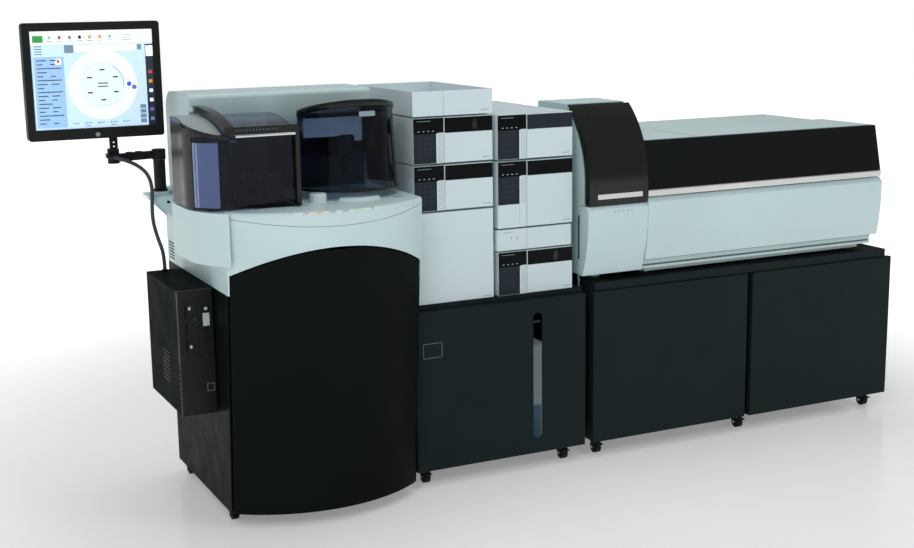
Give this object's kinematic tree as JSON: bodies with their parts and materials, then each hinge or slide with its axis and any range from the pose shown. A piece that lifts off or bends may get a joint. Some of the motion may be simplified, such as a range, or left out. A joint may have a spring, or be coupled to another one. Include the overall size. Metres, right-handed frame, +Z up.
{
  "type": "mass spectrometer",
  "caption": "Liquid chromatograph mass spectrometer line: bowed sample station with swivel monitor, module stack on a cabinet, and a long analyser with a curved source tower on a bench.",
  "frame": {"origin": "on the floor, under the middle of the whole line", "axes": "+X along the line to the analyser's far end, +Z up, front towards -Y"},
  "size_m": [2.843, 0.8693, 1.405],
  "materials": {
    "cabinet_black": "satin black sheet",
    "cabinet_grey": "satin dark blue grey sheet",
    "casing_white": "fine textured cool white",
    "module_white": "satin cool white",
    "steel_dark": "black powder coat",
    "gloss_black": "polished black",
    "matte_black": "matte black",
    "trim_silver": "brushed silver trim",
    "steel": "machined stainless steel",
    "chrome": "polished bar",
    "smoked": "smoked clear plastic",
    "screen": "lit touch screen",
    "rubber": "braided sleeve over rubber",
    "tank_white": "translucent white tank",
    "tube_glass": "clear tube",
    "alloy": "machined alloy"
  },
  "bodies": {
    "line": {"prep_cabinet": "cabinet_black", "prep_body": "casing_white", "prep_deck": "casing_white", "prep_corner_panel": "casing_white", "prep_hood": "casing_white", "prep_gantry_rail": "alloy", "pc_case": "steel_dark", "pc_front_panel": "matte_black", "arm_bracket": "casing_white", "monitor_cable": "rubber", "lc_cabinet": "cabinet_grey", "lc_waste_tank": "tank_white", "lc_pump_a": "module_white", "lc_pump_b": "module_white", "lc_pump_c": "module_white", "lc_reservoir_tray": "module_white", "lc_oven": "module_white", "lc_column": "steel", "lc_degasser": "module_white", "lc_autosampler": "module_white", "lc_controller": "module_white", "bench_frame": "cabinet_grey", "rough_vacuum_pump": "steel_dark", "ms_casing": "casing_white", "ms_upper_panel": "gloss_black", "ms_trim": "trim_silver", "ms_front_panel": "casing_white", "ms_tower": "casing_white", "ms_source_front": "casing_white", "ms_ion_source": "steel", "ms_vacuum_manifold": "alloy", "ms_turbo_pumps": "alloy", "ms_quadrupoles": "steel", "ms_detector": "steel"},
    "station_door": {"prep_front_door": "cabinet_black"},
    "left_cover": {"prep_left_cover": "smoked", "prep_left_cover_frame": "gloss_black", "prep_left_cover_bar": "chrome"},
    "right_cover": {"prep_right_cover": "smoked", "prep_right_cover_cap": "gloss_black"},
    "turntable": {"prep_turntable": "alloy", "prep_sample_tubes": "tube_glass"},
    "gantry_carriage": {"prep_gantry_carriage": "module_white"},
    "disc_tray": {"pc_disc_tray": "matte_black"},
    "power_button": {"pc_power_button": "matte_black"},
    "monitor_arm": {"arm_link": "matte_black"},
    "tilt_head": {"monitor_tilt_head": "matte_black"},
    "monitor": {"monitor_housing": "matte_black", "monitor_screen": "screen"},
    "lc_door": {"lc_cabinet_door": "cabinet_grey"},
    "oven_door": {"lc_oven_door": "module_white"},
    "pump_a_door": {"lc_pump_a_door": "module_white"},
    "pump_b_door": {"lc_pump_b_door": "module_white"},
    "pump_c_door": {"lc_pump_c_door": "module_white"},
    "autosampler_door": {"lc_autosampler_door": "module_white"},
    "controller_door": {"lc_controller_door": "module_white"},
    "bench_door_left": {"bench_left_door": "cabinet_grey"},
    "bench_door_right": {"bench_right_door": "cabinet_grey"},
    "source_cover": {"ms_source_cover": "gloss_black"}
  },
  "joints": [
    {"name": "station_door_hinge", "type": "hinge", "parent": "line", "child": "station_door", "pos_m": [-0.9845, -0.335, 0.3], "axis": [0, 0, -1], "range_deg": [0, 95]},
    {"name": "left_cover_lift", "type": "hinge", "parent": "line", "child": "left_cover", "pos_m": [-0.9805, -0.03, 1.16], "axis": [-1, 0, 0], "range_deg": [0, 60]},
    {"name": "right_cover_lift", "type": "hinge", "parent": "line", "child": "right_cover", "pos_m": [-0.5855, -0.026, 1.121], "axis": [-1, 0, 0], "range_deg": [0, 70]},
    {"name": "turntable_spin", "type": "hinge", "parent": "line", "child": "turntable", "pos_m": [-0.8825, -0.181, 0.92], "axis": [0, 0, 1], "continuous": true},
    {"name": "gantry_slide", "type": "slide", "parent": "line", "child": "gantry_carriage", "axis": [1, 0, 0], "range_m": [-0.074, 0.074]},
    {"name": "disc_tray_slide", "type": "slide", "parent": "line", "child": "disc_tray", "axis": [0, -1, 0], "range_m": [0, 0.13]},
    {"name": "power_button_press", "type": "slide", "parent": "line", "child": "power_button", "axis": [0, 1, 0], "range_m": [0, 0.0015], "stiffness_N_per_m": 600, "springref_m": -0.001},
    {"name": "monitor_arm_swivel", "type": "hinge", "parent": "line", "child": "monitor_arm", "pos_m": [-1.0345, 0.225, 1.01], "axis": [0, 0, 1], "range_deg": [-25, 10], "deforming": ["monitor_cable"]},
    {"name": "tilt_head_swivel", "type": "hinge", "parent": "monitor_arm", "child": "tilt_head", "pos_m": [-1.1755, 0.191, 1.035], "axis": [0, 0, 1], "range_deg": [-40, 10]},
    {"name": "monitor_tilt", "type": "hinge", "parent": "tilt_head", "child": "monitor", "pos_m": [-1.1755, 0.191, 1.095], "axis": [1, 0, 0], "range_deg": [-20, 5]},
    {"name": "lc_door_hinge", "type": "hinge", "parent": "line", "child": "lc_door", "pos_m": [0.1755, -0.215, 0.3], "axis": [0, 0, 1], "range_deg": [0, 90]},
    {"name": "oven_door_hinge", "type": "hinge", "parent": "line", "child": "oven_door", "pos_m": [-0.3925, -0.185, 0.7], "axis": [0, 0, -1], "range_deg": [0, 90]},
    {"name": "pump_a_door_hinge", "type": "hinge", "parent": "line", "child": "pump_a_door", "pos_m": [-0.2925, -0.185, 0.908], "axis": [0, 0, -1], "range_deg": [0, 100]},
    {"name": "pump_b_door_hinge", "type": "hinge", "parent": "line", "child": "pump_b_door", "pos_m": [-0.2925, -0.185, 1.048], "axis": [0, 0, -1], "range_deg": [0, 100]},
    {"name": "pump_c_door_hinge", "type": "hinge", "parent": "line", "child": "pump_c_door", "pos_m": [-0.0165, -0.185, 0.628], "axis": [0, 0, -1], "range_deg": [0, 100]},
    {"name": "autosampler_door_hinge", "type": "hinge", "parent": "line", "child": "autosampler_door", "pos_m": [-0.0165, -0.185, 0.87], "axis": [0, 0, -1], "range_deg": [0, 100]},
    {"name": "controller_door_hinge", "type": "hinge", "parent": "line", "child": "controller_door", "pos_m": [-0.0165, -0.185, 1.044], "axis": [0, 0, -1], "range_deg": [0, 100]},
    {"name": "bench_left_door_hinge", "type": "hinge", "parent": "line", "child": "bench_door_left", "pos_m": [0.2055, -0.215, 0.3], "axis": [0, 0, -1], "range_deg": [0, 90]},
    {"name": "bench_right_door_hinge", "type": "hinge", "parent": "line", "child": "bench_door_right", "pos_m": [1.4215, -0.215, 0.3], "axis": [0, 0, 1], "range_deg": [0, 90]},
    {"name": "source_cover_hinge", "type": "hinge", "parent": "line", "child": "source_cover", "pos_m": [0.287, -0.0964, 1.125], "axis": [-1, 0, 0], "range_deg": [0, 60]}
  ]
}
